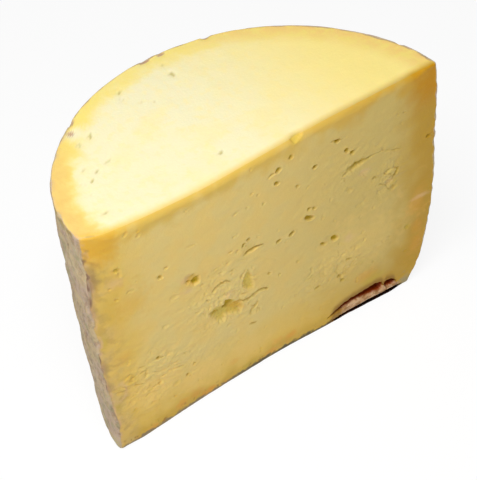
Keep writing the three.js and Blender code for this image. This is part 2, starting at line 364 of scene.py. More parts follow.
# %% [markdown]
# ## A block with loop cuts
# The half wheel could be spun from its profile, but a spin leaves long thin triangles where the flat
# faces meet at the axis, and they would not take relief. A block works better: loop cuts give even
# squares on all six sides, and the whole block is then bent into a half wheel. It runs from -1 to 1
# along the cut, from 0 to 1 towards the back and from 0 to 1 upwards.

# %% Block
CELLS = (96, 46, 92)
BLOCK_LOW = (-1, 0, 0)
BLOCK_SIZE = (2, 1, 1)
EDGE_CUTS = 2
HAIR = 1e-6


def cut_loops(bm, axis, cuts, low=-2.0, high=2.0):
    """Loop cuts across the edges that run along an axis, between two places on it."""
    chosen = []
    for edge in bm.edges:
        ends = sorted(corner.co[axis] for corner in edge.verts)
        if ends[1] - ends[0] > HAIR and ends[0] > low - HAIR and ends[1] < high + HAIR:
            chosen.append(edge)
    bmesh.ops.subdivide_edges(bm, edges=chosen, cuts=cuts, use_grid_fill=True)


bm = bmesh.new()
bmesh.ops.create_cube(bm, size=1)
bmesh.ops.translate(bm, verts=bm.verts, vec=(0, 0.5, 0.5))
bmesh.ops.scale(bm, verts=bm.verts, vec=BLOCK_SIZE)
for axis in range(3):
    cut_loops(bm, axis, CELLS[axis] - 1)
for axis in range(3):
    low = BLOCK_LOW[axis]
    high = low + BLOCK_SIZE[axis]
    cell = BLOCK_SIZE[axis] / CELLS[axis]
    cut_loops(bm, axis, EDGE_CUTS, low, low + cell)
    cut_loops(bm, axis, EDGE_CUTS, high - cell, high)
print("block", len(bm.faces), "faces")

# %% [markdown]
# ## Finer squares where the detail is
# The cut face carries the most detail, so its squares are split once more, and those round a hollow, in
# loose curd or at the split twice. A subdivision of the whole block would give the same detail with many
# more faces. Splitting only some squares leaves their neighbours with an extra corner, which
# subdivide_edges knits in with triangles.

# %% Refine the cut face
HOLLOW_MARGIN = 1.6
SPLIT_ZONE = (68, 172)
SPLIT_TOP = 26
TORN_FINE = 0.45


def everywhere(x, z):
    return z >= 0


def near_hollow(x, z):
    near = (x > SPLIT_ZONE[0]) & (x < SPLIT_ZONE[1]) & (z < SPLIT_TOP)
    for hollow in FRONT_HOLLOWS:
        roomy = (*hollow[:2], hollow[2] + HOLLOW_MARGIN, hollow[3] + HOLLOW_MARGIN, *hollow[4:])
        near = near | (reach(x, z, roomy) < 1)
    for corners, _, _ in HOLES + DEEP_HOLES:
        near = near | (inside(x, z, corners) > -HOLLOW_MARGIN)
    for points, half, _ in CRACKS:
        near = near | (from_line(x, z, points)[0] < half + HOLLOW_MARGIN)
    return near | (torn_at(x, z) > TORN_FINE)


def refine_front(bm, wanted):
    """Splits the squares of the block's front whose place along the cut and above the foot is wanted."""
    front = [face for face in bm.faces if all(corner.co.y < HAIR for corner in face.verts)]
    middles = np.array([face.calc_center_median() for face in front])
    z = middles[:, 2] * CUT_HEIGHT
    x = middles[:, 0] * wall_radius(z) + lean_at(z)
    for edge in bm.edges:
        edge.tag = False
    for face, take in zip(front, wanted(x, z)):
        if take:
            for edge in face.edges:
                edge.tag = True
    chosen = [edge for edge in bm.edges if edge.tag]
    bmesh.ops.subdivide_edges(bm, edges=chosen, cuts=1, use_grid_fill=True, use_single_edge=True)


refine_front(bm, everywhere)
refine_front(bm, near_hollow)
bmesh.ops.triangulate(bm, faces=[face for face in bm.faces if len(face.verts) > 4])
bmesh.ops.recalc_face_normals(bm, faces=bm.faces)
mesh = bpy.data.meshes.new("half_wheel_cheese")
bm.to_mesh(mesh)
bm.free()
mesh.calc_loop_triangles()
print("refined block", len(mesh.loop_triangles), "triangles")

# %% [markdown]
# ## Bending the block into a half wheel
# Each corner of the mesh is moved by a formula, as a sculptor's brush would move it. The square plan of
# the block is pulled round into a half disc, the edges are eased to the small radius that a knife or a
# press leaves, and the curves of the wheel place the result. A bevel could round the edges too, but it
# would not pass smoothly from one radius to another.

# %% Bend the plan and ease the edges
TOP_RIM_ROUND = 3.0
TOP_FRONT_ROUND = 9.0
SIDE_ROUND = 3.0
FOOT_ROUND = 5.0
FOOT_FRONT_ROUND = 1.5
INNER_ZONE = (8, 30)
HIGH_ZONE = (CUT_HEIGHT - 40, CUT_HEIGHT - 15)
LOW_ZONE = (10, 30)

block = np.empty(len(mesh.vertices) * 3)
mesh.vertices.foreach_get("co", block)
across, back, up = block.reshape(-1, 3).T

plan_x = across * np.sqrt(1 - back**2 / 2)
plan_y = back * np.sqrt(1 - across**2 / 2)
share = np.hypot(plan_x, plan_y)
angle = np.arctan2(plan_y, plan_x)
height = up * CUT_HEIGHT
inset = (1 - share) * BELLY_RADIUS
behind = plan_y * BELLY_RADIUS * DEPTH_RATIO

inner = smooth(inset, *INNER_ZONE)
near_top = smooth(height, *HIGH_ZONE)
near_foot = 1 - smooth(height, *LOW_ZONE)
round_at_top = TOP_RIM_ROUND + (TOP_FRONT_ROUND - TOP_RIM_ROUND) * inner
round_at_foot = FOOT_ROUND + (FOOT_FRONT_ROUND - FOOT_ROUND) * inner
ease = SIDE_ROUND + (round_at_top - SIDE_ROUND) * near_top + (round_at_foot - SIDE_ROUND) * near_foot
print("edges eased by", round(float(ease.min()), 1), "to", round(float(ease.max()), 1), "mm")

# %% Place the block on the wheel
past_cut = np.maximum(0, ease - behind)
past_wall = np.maximum(0, ease - inset)
past_top = np.maximum(0, ease - (CUT_HEIGHT - height))
past_foot = np.maximum(0, ease - height)
stretch = np.sqrt(past_cut**2 + past_wall**2 + past_top**2 + past_foot**2)
pull = 1 - ease / np.maximum(stretch, ease)

inset_round = inset + past_wall * pull
z = height - past_top * pull + past_foot * pull
radius = (1 - inset_round / BELLY_RADIUS) * (wall_radius(z) + wall_waves(angle, z))
x = radius * np.cos(angle) + lean_at(z)
y = DEPTH_RATIO * radius * np.sin(angle) + past_cut * pull
y = y + cut_face(x, z) * (1 - back) ** 2
z = z * top_face(x, y) / CUT_HEIGHT
print("bent to", [round(float(np.ptp(side)), 1) for side in (x, y, z)], "mm")

# %% [markdown]
# ## Hollows of the cut face
# The holes are pressed straight into the cut face as real geometry. A bump map would be quicker, but it
# has no depth from the side and no rim. A wavy warp keeps the outlines from looking drawn with a compass,
# and a low raised lip runs round most of them, where the wire dragged the paste.

# %% Hollows of the cut face
WARP = 0.34
WARP_SIZE = 4.5
CRACK_WARP = 1.2
PATCH_SIZE = 6
LIP_SHARE = 0.16
TORN_LIP_SHARE = 0.1
LIP_PLACE = 1.25
LIP_WIDTH = 0.25
LIP_DEEPEST = 3.5
HOLLOW_EDGE = 0.05
# A hollow this deep has its floor fully tinted and painted dark as shade.
EYE_DARK = 3.0
TORN_DARK = 2.6
CRACK_DARK = 4.5
CHIP_DARK = 2.0
NICK_DARK = 2.5


def noise_at(points, size):
    """Soft noise from -1 to 1 at each point, with lumps about one size across."""
    return np.array([noise.noise(spot) for spot in (points / size).tolist()])


def press_in(depths, aways, softness, dark, broken=1.0, lip_share=0.0):
    """The depth of a set of hollows at each place, and how far down each place lies in its hollow."""
    depth = np.zeros_like(x)
    lip = np.zeros_like(x)
    shade = np.zeros_like(x)
    for deepest, away in zip(depths, aways):
        bowl = np.clip(1 - np.maximum(away, 0) ** 2, 0, 1) ** softness * broken
        rim = bell(away - LIP_PLACE, LIP_WIDTH) * broken
        depth = np.maximum(depth, deepest * bowl)
        lip = np.maximum(lip, lip_share * min(LIP_DEEPEST, deepest) * rim)
        shade = np.maximum(shade, bowl * min(1, deepest / dark))
    return depth - lip * (depth < HOLLOW_EDGE), shade


def press_round(along, across, hollows, softness, dark=EYE_DARK, **how):
    aways = [reach(along, across, hollow) * (1 + WARP * warp) for hollow in hollows]
    return press_in([hollow[-1] for hollow in hollows], aways, softness, dark, **how)


def press_torn(holes):
    aways = [1 - inside(x + warp, z + wobble, corners) / wall for corners, _, wall in holes]
    return press_in([hole[1] for hole in holes], aways, 1.0, TORN_DARK, lip_share=TORN_LIP_SHARE)


def press_cracks(cracks, broken):
    aways = []
    for points, half, _ in cracks:
        away, share = from_line(x + CRACK_WARP * warp, z + CRACK_WARP * wobble, points)
        aways.append(away / (half * (0.4 + 0.6 * np.sin(math.pi * share))))
    depths = [crack[-1] for crack in cracks]
    return press_in(depths, aways, 1.2, CRACK_DARK, broken=broken, lip_share=LIP_SHARE)


spots = np.column_stack([x, y, z])
warp = noise_at(spots, WARP_SIZE)
# Shifted points give a second noise that isn't like the first.
wobble = noise_at(spots + 70, WARP_SIZE)
patchy = np.clip(0.75 + 1.1 * noise_at(spots, PATCH_SIZE), 0.2, 1)
eye_depth, eye_shade = press_round(x, z, EYES, 1.0, lip_share=LIP_SHARE)
slit_depth, slit_shade = press_round(x, z, CREVICES, 1.1, broken=patchy, lip_share=LIP_SHARE)
dip_depth, dip_shade = press_round(x, z, DIPS, 1.0)
dent_depth, _ = press_round(x, z, DENTS, 1.3, lip_share=LIP_SHARE)
hole_depth, hole_shade = press_torn(HOLES)
deep_depth, deep_shade = press_torn(DEEP_HOLES)
crack_depth, crack_shade = press_cracks(CRACKS, 0.55 + 0.45 * patchy)
hollowed = eye_depth + slit_depth + dip_depth + dent_depth
hollowed = hollowed + hole_depth + deep_depth + crack_depth
print("deepest hole", round(float(hollowed.max()), 1), "mm")

# %% [markdown]
# ## The split at the foot
# Low down on the right the rind of the base has come away from the paste. A red-brown gash, painted darker
# as shade, arches over a swollen lip, pinched shut near its right end, and a narrow gap, painted black as
# shadow, runs under the lip. A boolean cutter could open them, but these slots with soft edges follow a line
# that wanders.

# %% The split
SPLIT_LEFT = 70
SPLIT_RIGHT = 163
SPLIT_MIDDLE = 121
SPLIT_SPAN = 46
SPLIT_LOW = 11
SPLIT_RISE = 8
SPLIT_SWAY = 0.9
SPLIT_DEPTH = 12
SPLIT_HALF = 2.9
SPLIT_WIDENS = 1.1
BULGE_X, BULGE_SPREAD, BULGE_HALF = 135, 9, 1.4
PINCH_X, PINCH_SPREAD, PINCH_HALF = 144.5, 2.2, 4.6
GAP_LEFT, GAP_RIGHT = SPLIT_ZONE
GAP_HEIGHT = 4.4
GAP_DROP = 1.6
GAP_HALF = 3.2
GAP_SWAY = 0.6
GAP_DEPTH = 5
LIP_SWELL = 1.6
LIP_HEIGHT = 10
LIP_SPREAD = 4
WANDER_SIZE = 18
OPENING = (-0.4, 0.9)


def taper(left, left_run, right, right_run):
    """1 along a stretch of the cut, running out to 0 at both ends."""
    return smooth(x, left, left + left_run) * (1 - smooth(x, right - right_run, right))


wander = noise_at(spots, WANDER_SIZE)
arch = np.clip(1 - ((x - SPLIT_MIDDLE) / SPLIT_SPAN) ** 2, 0, 1)
split_line = SPLIT_LOW + SPLIT_RISE * arch + SPLIT_SWAY * wander
split_ends = taper(SPLIT_LEFT, 24, SPLIT_RIGHT, 9)
split_half = (SPLIT_HALF + SPLIT_WIDENS * smooth(x, 96, 128) + SPLIT_SWAY * warp) * split_ends
split_half = split_half + BULGE_HALF * bell(x - BULGE_X, BULGE_SPREAD)
split_half = split_half - PINCH_HALF * bell(x - PINCH_X, PINCH_SPREAD)
split_open = smooth(split_half - np.abs(z - split_line), *OPENING) * smooth(split_ends, 0, 0.15)

gap_ends = taper(GAP_LEFT, 34, GAP_RIGHT, 16)
gap_line = GAP_HEIGHT - GAP_DROP * (1 - smooth(x, 84, 128))
gap_open = smooth(GAP_HALF * gap_ends - np.abs(z - gap_line - GAP_SWAY * wander), *OPENING)
gap_open = gap_open * smooth(gap_ends, 0, 0.2)
gape = np.maximum(SPLIT_DEPTH * split_open, GAP_DEPTH * gap_open)
lip_swell = LIP_SWELL * bell(z - LIP_HEIGHT, LIP_SPREAD) * gap_ends * (1 - np.maximum(split_open, gap_open))
print("the split gapes", round(float(gape.max()), 1), "mm deep")

# %% [markdown]
# ## Curd
# Between the holes the paste shows its curd: low ripples that run along the face, where pressed grains lie
# side by side, and fine seams between them. Sculpting them would take long, so noise makes them, stretched
# along the cut for the ripples and for the seams on the left, and stronger where the curd is loose.

# %% Curd
CURD_STRETCH = np.array([0.5, 1.0, 1.0])
CURD_SIZE = 5
CURD_WAVE_SIZE = 26
CRUMB_SIZE = 3
CELL_SIZE = 10
STROKE_SIZE = 6
STROKES_LEFT_OF = -85
SEAM_WIDTH = 0.2
SEAM_PATCH_SIZE = 11
EDGE_REACH = 20.0
GAPING = 0.3

along_cut = spots * CURD_STRETCH
torn = torn_at(x, z) + 0.5 * np.maximum(dip_shade, hole_shade)
seam_noise = np.where(x < STROKES_LEFT_OF, noise_at(along_cut, STROKE_SIZE), noise_at(spots, CELL_SIZE))
seam = 1 - smooth(np.abs(seam_noise), 0, SEAM_WIDTH)
seam = seam * smooth(noise_at(spots + 90, SEAM_PATCH_SIZE), -0.1, 0.35)
curd = (0.2 + 0.8 * torn) * noise_at(along_cut, CURD_SIZE) + 0.5 * noise_at(along_cut, CURD_WAVE_SIZE)
curd = curd + 0.75 * torn * noise_at(spots, CRUMB_SIZE) + (0.2 + 1.5 * torn) * seam
front_fade = np.clip(1 - behind / EDGE_REACH, 0, 1) ** 2
press = np.where(gape > GAPING, np.maximum(hollowed, gape), hollowed - lip_swell) + curd
print("curd rises and falls by", round(float(np.ptp(curd)), 1), "mm")

# %% [markdown]
# ## Relief of the top and the rind
# The sliced top is smooth, with a few pits. The rind is a dry crust: broad lumps from the press cloth,
# crags a few millimetres across, and small craters. A displacement modifier with a texture could do it,
# but noise in code can fade out at the edges. The underside stays flat, because the cheese stands on it.

# %% Relief of the top and the rind
PIT_SHARE = 0.6
TOP_RIPPLE = 0.25
TOP_RIPPLE_SIZE = 14
# Each layer of crags has a height and a size.
CRAG_LAYERS = [(0.6, 30), (0.8, 13), (0.6, 6)]
CRATER_SIZE = 9
CALM_RIM = 0.3

pit_depth, pit_shade = press_round(x, y, TOP_PITS, 1.0)
chip_depth, chip_shade = press_round(x, y, RIM_CHIPS, 0.8, dark=CHIP_DARK)
nick_depth, nick_shade = press_round(x, y, [EDGE_NICK], 1.0, dark=NICK_DARK)
press_top = np.maximum(np.maximum(PIT_SHARE * pit_depth, chip_depth), nick_depth)
top_fade = np.clip(1 - (CUT_HEIGHT - height) / EDGE_REACH, 0, 1) ** 2
top_ripple = TOP_RIPPLE * noise_at(spots, TOP_RIPPLE_SIZE)

crag = sum(rise * noise_at(spots, size) for rise, size in CRAG_LAYERS)
crag = crag - smooth(noise_at(spots + 300, CRATER_SIZE), 0.15, 0.45)
crag = crag * (CALM_RIM + (1 - CALM_RIM) * smooth(CUT_HEIGHT - height, 3, 25))
wall_fade = np.clip(1 - inset / EDGE_REACH, 0, 1) ** 2 * smooth(height, 0, 8)
print("crags from", round(float(crag.min()), 1), "to", round(float(crag.max()), 1), "mm")

# %% Move the mesh
y = y + press * front_fade
z = z - (press_top + top_ripple) * top_fade
x = x + crag * wall_fade * np.cos(angle)
y = y + crag * wall_fade * np.sin(angle) * smooth(behind, 0, 6)
z = np.maximum(z, 0)
finished = (np.column_stack([x, y, z]) + AXIS) * MM
mesh.vertices.foreach_set("co", finished.ravel())
mesh.update()
mesh.shade_smooth()
print("cheese", [round(float(side), 1) for side in np.ptp(finished, axis=0) / MM], "mm")

# %% [markdown]
# ## Stains
# Where the paste dried or touched the rind, it is stained: gold at the top left, orange and olive mostly
# along the foot, a little pink round the holes, brown beside the rind. One olive patch above the split is
# painted shade, and the pale patches low on the face are partly painted light. They could be painted on a
# texture, but soft ellipses with ragged edges need no image.

# %% Stains of the cut face
# Each is a place along and up, half a length, half a width, a tilt in degrees and a strength.
FRONT_STAINS = {
    "gold_stain": [
        (-176, 257, 20, 17, 0, 0.9), (-184, 262, 10, 10, 0, 0.8), (-178, 244, 8, 9, 0, 0.6),
        (-90, 168, 11, 9, 0, 0.4), (27, 272, 9, 5, 0, 0.5), (-40, 103, 11, 8, -25, 0.6),
        (-152, 180, 22, 18, 0, 0.35),
    ],
    "grey_stain": [(174, 7, 12, 7, -10, 0.8)],
    "orange": [
        (-70, 6.7, 6, 4.5, 0, 0.9), (-78, 5.5, 7, 4, 0, 0.7), (-88, 13, 8, 6, 0, 0.5),
        (-106, 12, 9, 6, 0, 0.6), (-163, 120, 7, 7, 0, 0.2), (-52, 3, 7, 3, 0, 0.7), (-41, 26, 7, 5, 0, 0.3),
        (5, 8, 9, 5, 0, 0.7), (12, 17.5, 8, 6, 0, 0.35), (28, 16, 8, 6, 0, 0.7),
        (180, 112, 12, 18, 0, 0.35), (184, 54, 10, 16, 0, 0.35), (183, 77, 9, 12, 0, 0.3),
        (-145, 4, 9, 4, 0, 0.8), (-154, 2, 7, 3, 0, 0.7), (118, 44, 14, 9, 0, 0.3),
    ],
    # The first olive patch, just above the split, is painted shade; the others are stains.
    "olive": [
        (129.5, 33, 15, 9, 0, 0.8), (18, 10.7, 17, 6, 0, 0.7), (-24, 8, 17, 5, 0, 0.7),
        (-82, 4, 14, 4, 0, 0.6), (-175, 186, 12, 20, 0, 0.3), (-181, 150, 6, 11, 0, 0.6),
        (-175, 62, 7, 9, 0, 0.4), (170, 84, 4, 4, 0, 0.7), (147, 155, 4, 4, 0, 0.5),
        (98, 201, 12, 4, 5, 0.5), (-178, 228, 8, 14, 0, 0.3),
    ],
    # Pale patches low on the face, partly painted light that makes the lower face lighter.
    "pale": [
        (-138, 58, 36, 28, 0, 0.55), (-85, 38, 34, 18, 0, 0.45), (-30, 36, 30, 16, 0, 0.3),
        (108, 95, 55, 38, 0, 0.3),
    ],
}
PINK_STAINS = [
    (94.6, 110, 7, 5, 0, 0.4), (-96, 174, 6, 4, 0, 0.4), (-92, 158, 6, 4, 0, 0.4),
    (184, 116.5, 16, 3.5, -5, 0.5), (108, 186, 8, 5, 0, 0.4), (141, 158, 7, 5, 0, 0.4),
    (-48, 125, 6, 4, 0, 0.4), (-166, 214, 8, 6, 0, 0.4),
]
# These lie along the left border. Their first number counts from the rind inwards, below 0 on the rind.
BORDER_STAINS = [
    (-1, 246, 4, 6, 0, 0.7), (-1, 229, 5, 6, 0, 1), (-6, 232, 6, 9, 0, 0.6), (-1, 216, 4, 5, 0, 0.8),
    (1, 199, 3, 10, 0, 0.7), (-14, 222, 6, 8, 0, 0.5), (-1, 129, 3, 9, 0, 0.8), (-1, 91, 3, 10, 0, 0.8),
    (-8, 168, 5, 9, 0, 0.4), (-6, 60, 5, 12, 0, 0.4), (3, 226, 11, 24, 0, 0.5), (3, 190, 7, 16, 0, 0.4),
    (2, 118, 8, 16, 0, 0.45), (2, 92, 7, 14, 0, 0.45),
]
TOP_NOTCH = (-122, 118, 11, 9, 45, 1)
RING_STAIN = (-173.5, 79, 9, 11, 0, 1)
RING_WIDTH = 0.22


def stain(along, across, places):
    """How strongly a set of soft-edged stains covers each place."""
    cover = np.zeros_like(along)
    for place in places:
        away = reach(along, across, place) * (1 + 0.5 * wander + 0.5 * warp)
        cover = np.maximum(cover, place[-1] * (1 - smooth(away, 0.2, 1.3)))
    return cover


ring = bell(reach(x, z, RING_STAIN) * (1 + 0.2 * warp) - 1, RING_WIDTH) * smooth(x, -182, -168)
pink_cover = np.maximum(stain(x, z, PINK_STAINS), 0.5 * ring)
print("pink covers", round(100 * float((pink_cover > 0.1).mean()), 1), "% of the points")

# %% [markdown]
# ## What the colour follows
# Cheese dries from the outside in, so its colour follows a few distances: below the rind, below the top
# edge and above the foot. It also follows the depth down into a hollow, where shade is painted. They are
# stored on the mesh as named attributes, which the material reads. A UV map would need a seam, and
# attributes stay with the points.

# %% Distances
ON_FACE = 1e-4
RIND_THICKNESS = 3
TOP_BLEND = 10
FAR_BELOW = 100
on_front = behind < ON_FACE
on_top = CUT_HEIGHT - height < ON_FACE
on_paste = on_front | on_top
on_rind = inset < RIND_THICKNESS


def keep(name, values):
    """Stores one number for each point of the mesh."""
    layer = mesh.attributes.new(name, "FLOAT", "POINT")
    layer.data.foreach_set("value", np.asarray(values, np.float32))
    print("attribute", name, "from", round(float(values.min()), 2), "to", round(float(values.max()), 2))


keep("below_wall", np.where(on_paste, inset, 0))
keep("above_foot", np.where(on_front, height, np.where(on_top, CUT_HEIGHT, 0)))
keep("top_cut", np.where(on_top, smooth(behind, 0, TOP_BLEND), 0))
keep("below_top", np.where(on_front, CUT_HEIGHT - height, FAR_BELOW))
keep("under_rim", smooth(height, CUT_HEIGHT - 9, CUT_HEIGHT - 3) * ~on_paste)
keep("relief", np.where(on_rind, crag, 0))
keep("torn", np.minimum(torn, 1) * on_front)

# %% Depth in the hollows and the split
# The material paints shade from these depths: the deeper a point lies in a hollow or the split, the darker.
SPLIT_SHADE_REACH = 12
keep("eye_tint_and_shade", np.max([eye_shade, slit_shade, crack_shade, deep_shade], axis=0) * on_front)
keep("dip_tint_and_shade", np.maximum(dip_shade, hole_shade) * on_front)
keep("pit_tint_and_shade", pit_shade * on_top)
keep("chip", chip_shade * on_top)
keep("nick_tint_and_shade", nick_shade * on_paste * smooth(height, CUT_HEIGHT - 12, CUT_HEIGHT - 4))
keep("split", split_open * on_front)
# Paste just above the split is painted darker as shade.
split_painted_shade = (1 - smooth(z - split_line - split_half, 0, SPLIT_SHADE_REACH)) * smooth(split_ends, 0, 0.6)
keep("split_painted_shade", split_painted_shade * on_front)
# The gap under the lip and the foot below it are painted black as shadow.
painted_shadow_below_gap = smooth(gap_ends, 0.2, 0.8) * (1 - smooth(z, gap_line - 1, gap_line + 1))
keep("gap", np.maximum(gap_open, painted_shadow_below_gap) * on_front)
lip_cover = gap_ends * smooth(x + 4 * warp, 76, 106)
keep("lip", lip_cover * (1 - smooth(z, split_line - 2, split_line)) * on_front)

# %% Cover of the stains
for name, places in FRONT_STAINS.items():
    keep(name, stain(x, z, places) * on_front)
keep("pink", pink_cover * on_front)
keep("notch", stain(x, y, [TOP_NOTCH]) * on_top)
past_border = np.where(on_front, inset, -behind)
keep("brown", stain(past_border, z, BORDER_STAINS) * (x < 0) * (on_front | on_rind))

# %% [markdown]
# ## The finish of the cheese
# One material covers the whole piece, because paste and rind are one body. It is mixed in layers from the
# inside out: pale paste, a golden zone under the rind, a thin pinkish line, and the grey-brown crust with
# its spots. Nodes could be placed and linked one by one, but short helpers keep each layer on one line.

# %% Helpers that make nodes
cheese_finish = bpy.data.materials.new("cheese_finish")
cheese_finish.use_nodes = True
tree = cheese_finish.node_tree
tree.nodes.clear()
OBJECT_PLACE = 3
FACTOR = 2


def tone(red, green, blue):
    """A colour picked in screen values, as the linear light that shaders use."""
    parts = [part / 255 for part in (red, green, blue)]
    return (*[p / 12.92 if p < 0.04045 else ((p + 0.055) / 1.055) ** 2.4 for p in parts], 1.0)


def plug(socket, value):
    """Links an output to a socket, or sets the socket to a plain value."""
    if isinstance(value, bpy.types.NodeSocket):
        tree.links.new(value, socket)
    else:
        socket.default_value = value


def fill(node, values):
    """Plugs a value into each named input of a node."""
    for name, value in values.items():
        plug(node.inputs[name], value)


def add(kind, *inputs, out=0, **settings):
    """A new node, with its first inputs filled in order. Gives back one of its outputs."""
    made = tree.nodes.new(kind)
    for name, value in settings.items():
        setattr(made, name, value)
    for socket, value in zip(made.inputs, inputs):
        if value is not None:
            plug(socket, value)
    return made.outputs[out]


def stored(name):
    return add("ShaderNodeAttribute", attribute_name=name, out=FACTOR)


def between(value, low, high, start=0.0, end=1.0):
    """Goes softly from start to end as a value goes from low to high."""
    return add("ShaderNodeMapRange", value, low, high, start, end, interpolation_type="SMOOTHSTEP")


def both(first, second):
    """The product of two shares: what lies in both."""
    return add("ShaderNodeMath", first, second, operation="MULTIPLY")


def plus(first, second):
    return add("ShaderNodeMath", first, second, operation="ADD")


def blend(share, first, second):
    """The first colour, with a share of the second over it."""
    mix = tree.nodes.new("ShaderNodeMix")
    mix.data_type = "RGBA"
    plug(mix.inputs[0], share)
    plug(mix.inputs[6], first)
    plug(mix.inputs[7], second)
    return mix.outputs[2]


def layers(base, coats):
    """A base colour with coats laid over it in order, each a share and a colour."""
    for share, coat in coats:
        base = blend(share, base, coat)
    return base


print("empty finish", cheese_finish.name, "made")

# %% Helpers that make patterns
to_right = add("ShaderNodeSeparateXYZ", add("ShaderNodeTexCoord", out=OBJECT_PLACE), out=0)


def lumps(size, detail=3.0, stretch=(1, 1, 1)):
    """Noise from 0 to 1 on Object coordinates, with lumps about one size across in millimetres."""
    place = add("ShaderNodeTexCoord", out=OBJECT_PLACE)
    scaled = add("ShaderNodeMapping", place, None, None, stretch)
    return add("ShaderNodeTexNoise", scaled, None, 1 / (size * MM), detail, noise_dimensions="3D")


def patches(size, low, high, least=0.0, most=1.0, detail=3.0, stretch=(1, 1, 1)):
    """Soft patches, from least to most, where noise rises from low to high."""
    return between(lumps(size, detail, stretch), low, high, least, most)


def waver(size, detail, amount):
    """Noise that swings between -amount and amount."""
    return patches(size, 0.3, 0.7, -amount, amount, detail)


def fade(distance, near, far, most=1.0):
    """Falls softly from most at the near distance to 0 at the far one."""
    return between(distance, near, far, most, 0.0)


def rightwards(left, right, start=0.0, end=1.0):
    """Goes softly from start to end between two places along the cut, in millimetres."""
    return between(to_right, left * MM, right * MM, start, end)


print("pattern helpers ready on", len(tree.nodes), "nodes")

# %% [markdown]
# ## Colour of the paste
# The paste is pale in the middle and turns golden towards the rind and the foot, where it has dried. The
# right-hand end is deeper in colour, and there the plain paste is also painted darker as shade, where the
# light falls off. A colour ramp on one distance would give straight bands, so a little noise is added to the
# distances first, and the borders of most bands waver.

# %% Colour of the cut face
PASTE = tone(230, 203, 125)
PASTE_WARM = tone(234, 202, 118)
PASTE_RIGHT_PAINTED_SHADE = tone(207, 181, 103)
GOLD = tone(230, 191, 86)
GOLD_RIGHT = tone(191, 150, 46)
GOLD_FOOT = tone(206, 166, 58)
DEEP_GOLD = tone(196, 138, 4)
DRY_EDGE = tone(221, 183, 80)
DRY_RIGHT = tone(206, 160, 50)
GOLD_ZONE = (10, 62)
LOW_GOLD_ZONE = (10, 80, 0.9)
FOOT_ZONE = (0, 24, 0.85)
DRY_ZONE = (2, 26, 0.85)
CORNER_ZONE = (22, 58)

below_wall = stored("below_wall")
above_foot = stored("above_foot")
below_top = stored("below_top")
top_cut = stored("top_cut")
edge_waver = waver(18, 0, 5.0)
rim_waver = waver(18, 3, 4.0)
above_foot_now = plus(above_foot, edge_waver)
below_top_now = plus(below_top, plus(edge_waver, rim_waver))

gold = blend(rightwards(0, 150), GOLD, GOLD_RIGHT)
dry_edge = blend(rightwards(0, 170), DRY_EDGE, DRY_RIGHT)
corner_edge = between(plus(to_right, waver(12, 2, 6 * MM)), 142 * MM, 182 * MM)
front_paste = layers(PASTE, [
    (patches(30, 0.4, 0.64, detail=2), PASTE_WARM),
    # The right end of the paste, painted darker as shade where the light falls off.
    (rightwards(-70, 150), PASTE_RIGHT_PAINTED_SHADE),
    (fade(plus(below_wall, edge_waver), *GOLD_ZONE), gold),
    (fade(above_foot_now, *LOW_GOLD_ZONE), gold),
    (fade(above_foot_now, *FOOT_ZONE), GOLD_FOOT),
    (fade(below_top_now, *DRY_ZONE), dry_edge),
    (both(corner_edge, fade(below_top, *CORNER_ZONE)), DEEP_GOLD),
])
print("cut face mixed,", len(tree.nodes), "nodes so far")

# %% Colour of the sliced top
# The top is painted paler than the cut face, partly as a painted sheen of the bright light on it.
PASTE_TOP_AND_SHEEN = tone(238, 230, 188)
PASTE_TOP_RIGHT = tone(247, 226, 140)
GOLD_TOP = tone(241, 219, 118)
GOLD_RIM = tone(231, 194, 112)
TOP_GOLD_ZONE = (12, 32)
RIM_GOLD_ZONE = (6, 27)

below_rim_now = plus(below_wall, rim_waver)
gold_share = both(rightwards(-165, -50, 1.0, 0.6), patches(9, 0.35, 0.62, 1.0, 0.84))
rim_gold = blend(rightwards(-170, -120), GOLD_RIM, GOLD_TOP)
top_paste_and_sheen = layers(PASTE_TOP_AND_SHEEN, [
    (patches(28, 0.45, 0.7, 0, 0.3), PASTE_TOP_RIGHT),
    (patches(8, 0.5, 0.68, 0, 0.25), PASTE_TOP_RIGHT),
    (rightwards(-40, 140), PASTE_TOP_RIGHT),
    (both(fade(below_rim_now, *TOP_GOLD_ZONE), gold_share), GOLD_TOP),
    (both(fade(below_rim_now, *RIM_GOLD_ZONE), gold_share), rim_gold),
    (stored("notch"), PASTE_TOP_AND_SHEEN),
])
paste = blend(top_cut, front_paste, top_paste_and_sheen)
print("top mixed,", len(tree.nodes), "nodes so far")

# %% [markdown]
# ## Colour of the hollows and stains
# The floor of an eye is moist and deeper in colour than the dry face round it, and beside the left border
# the rind has stained the paste. Shadow alone would darken the holes too little, so the floors of eyes,
# dips, pits and the nick are also painted darker as shade. Each stored cover lays its own colour over the
# paste.

# %% Colour of the hollows and stains
EDGE_TAN = tone(213, 181, 110)
OLIVE_EDGE = tone(194, 158, 84)
PALE_GOLD_AND_PAINTED_LIGHT = tone(246, 208, 120)
OLIVE_STAIN_AND_SHADE = tone(198, 170, 66)
ORANGE = tone(226, 158, 58)
DIP_FLOOR_AND_SHADE = tone(218, 191, 84)
GOLD_STAIN = tone(224, 172, 56)
PINK = tone(228, 190, 142)
EYE_FLOOR_AND_SHADE = tone(198, 168, 34)
PIT_FLOOR_AND_SHADE = tone(190, 176, 112)
NICK_GOLD_AND_SHADE = tone(220, 190, 84)
CHIP = tone(190, 152, 122)
BORDER_ZONE = (6, 30)
HOLLOW_RISE = (0.05, 0.8)

